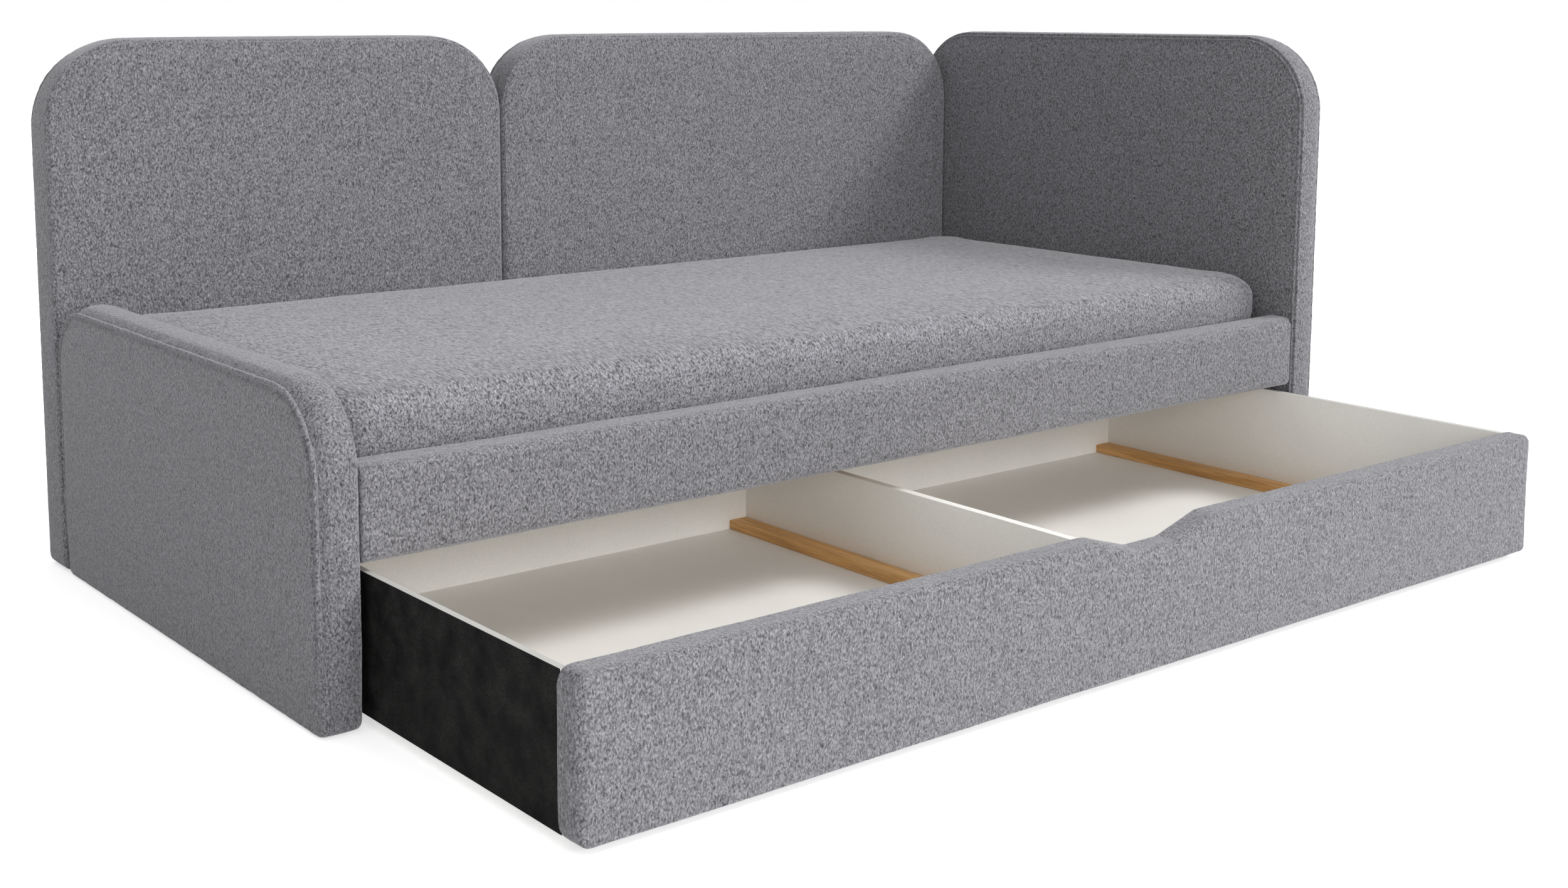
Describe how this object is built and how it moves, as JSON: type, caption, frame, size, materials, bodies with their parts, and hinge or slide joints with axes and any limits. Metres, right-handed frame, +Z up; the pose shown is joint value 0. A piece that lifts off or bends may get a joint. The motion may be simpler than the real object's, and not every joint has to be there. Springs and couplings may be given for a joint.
{
  "type": "toddler bed",
  "caption": "Upholstered child's daybed with low and tall end panels, padded backs, a mattress and a full-length rolling drawer with a finger scoop.",
  "frame": {"origin": "on the floor, under the middle of the whole object with its drawer pulled out as pictured", "axes": "+X along the bed from the low end to the tall end, +Y from the drawer to the back panels, +Z up"},
  "size_m": [2.146, 1.564, 0.905],
  "materials": {
    "boucle_fabric": "short curly pile, matte",
    "foam": "open-cell foam",
    "particle_board": "raw board",
    "pine": "planed",
    "batten_wood": "stained, satin",
    "white_laminate": "white laminate on board",
    "lining": "black nonwoven",
    "zinc_steel": "zinc plated",
    "black_plastic": "matte",
    "wheel_nylon": "moulded nylon"
  },
  "bodies": {
    "bed_frame": {"left_end_board": "particle_board", "left_end_padding": "foam", "left_end_cover": "boucle_fabric", "right_end_board": "particle_board", "right_end_padding": "foam", "right_end_cover": "boucle_fabric", "back_left_board": "particle_board", "back_left_padding": "foam", "back_left_cover": "boucle_fabric", "back_right_board": "particle_board", "back_right_padding": "foam", "back_right_cover": "boucle_fabric", "front_rail_board": "particle_board", "front_rail_padding": "foam", "front_rail_cover": "boucle_fabric", "front_ledger": "pine", "rear_rail": "pine", "base_slats": "pine", "corner_brackets": "zinc_steel", "bracket_bolts": "zinc_steel", "rail_bolts": "zinc_steel", "back_panel_bolts": "zinc_steel", "ledger_screws": "zinc_steel", "slat_screws": "zinc_steel", "floor_glides": "black_plastic"},
    "mattress": {"mattress_core": "foam", "mattress_cover": "boucle_fabric", "mattress_underside": "lining"},
    "drawer": {"drawer_front_board": "particle_board", "drawer_front_padding": "foam", "drawer_front_cover": "boucle_fabric", "drawer_left_side": "white_laminate", "drawer_right_side": "white_laminate", "drawer_back": "white_laminate", "drawer_divider": "white_laminate", "drawer_left_floor": "white_laminate", "drawer_right_floor": "white_laminate", "drawer_left_lining": "lining", "drawer_right_lining": "lining", "drawer_back_lining": "lining", "left_side_batten": "batten_wood", "divider_left_batten": "batten_wood", "divider_right_batten": "batten_wood", "right_side_batten": "batten_wood", "drawer_front_screws": "zinc_steel", "drawer_box_screws": "zinc_steel", "castor_housings": "zinc_steel", "castor_axles": "zinc_steel", "castor_screws": "zinc_steel"},
    "wheel_front_left": {"wheel_front_left": "wheel_nylon"},
    "wheel_rear_left": {"wheel_rear_left": "wheel_nylon"},
    "wheel_front_middle": {"wheel_front_middle": "wheel_nylon"},
    "wheel_rear_middle": {"wheel_rear_middle": "wheel_nylon"},
    "wheel_front_right": {"wheel_front_right": "wheel_nylon"},
    "wheel_rear_right": {"wheel_rear_right": "wheel_nylon"}
  },
  "joints": [
    {"name": "drawer_slide", "type": "slide", "parent": "bed_frame", "child": "drawer", "axis": [0, -1, 0], "range_m": [-0.506, 0.3]},
    {"name": "mattress_lift", "type": "slide", "parent": "bed_frame", "child": "mattress", "axis": [0, 0, 1], "range_m": [0, 0.3]},
    {"name": "wheel_front_left_roll", "type": "hinge", "parent": "drawer", "child": "wheel_front_left", "pos_m": [-0.967, -0.648, 0.0075], "axis": [1, 0, 0], "continuous": true},
    {"name": "wheel_rear_left_roll", "type": "hinge", "parent": "drawer", "child": "wheel_rear_left", "pos_m": [-0.967, 0.076, 0.0075], "axis": [1, 0, 0], "continuous": true},
    {"name": "wheel_front_middle_roll", "type": "hinge", "parent": "drawer", "child": "wheel_front_middle", "pos_m": [-0.0265, -0.648, 0.0075], "axis": [1, 0, 0], "continuous": true},
    {"name": "wheel_rear_middle_roll", "type": "hinge", "parent": "drawer", "child": "wheel_rear_middle", "pos_m": [-0.0265, 0.076, 0.0075], "axis": [1, 0, 0], "continuous": true},
    {"name": "wheel_front_right_roll", "type": "hinge", "parent": "drawer", "child": "wheel_front_right", "pos_m": [0.967, -0.648, 0.0075], "axis": [1, 0, 0], "continuous": true},
    {"name": "wheel_rear_right_roll", "type": "hinge", "parent": "drawer", "child": "wheel_rear_right", "pos_m": [0.967, 0.076, 0.0075], "axis": [1, 0, 0], "continuous": true}
  ],
  "couplings": [
    {"joint": "wheel_front_left_roll", "follows": "drawer_slide", "rad_per_m": 133.33},
    {"joint": "wheel_rear_left_roll", "follows": "drawer_slide", "rad_per_m": 133.33},
    {"joint": "wheel_front_middle_roll", "follows": "drawer_slide", "rad_per_m": 133.33},
    {"joint": "wheel_rear_middle_roll", "follows": "drawer_slide", "rad_per_m": 133.33},
    {"joint": "wheel_front_right_roll", "follows": "drawer_slide", "rad_per_m": 133.33},
    {"joint": "wheel_rear_right_roll", "follows": "drawer_slide", "rad_per_m": 133.33}
  ]
}
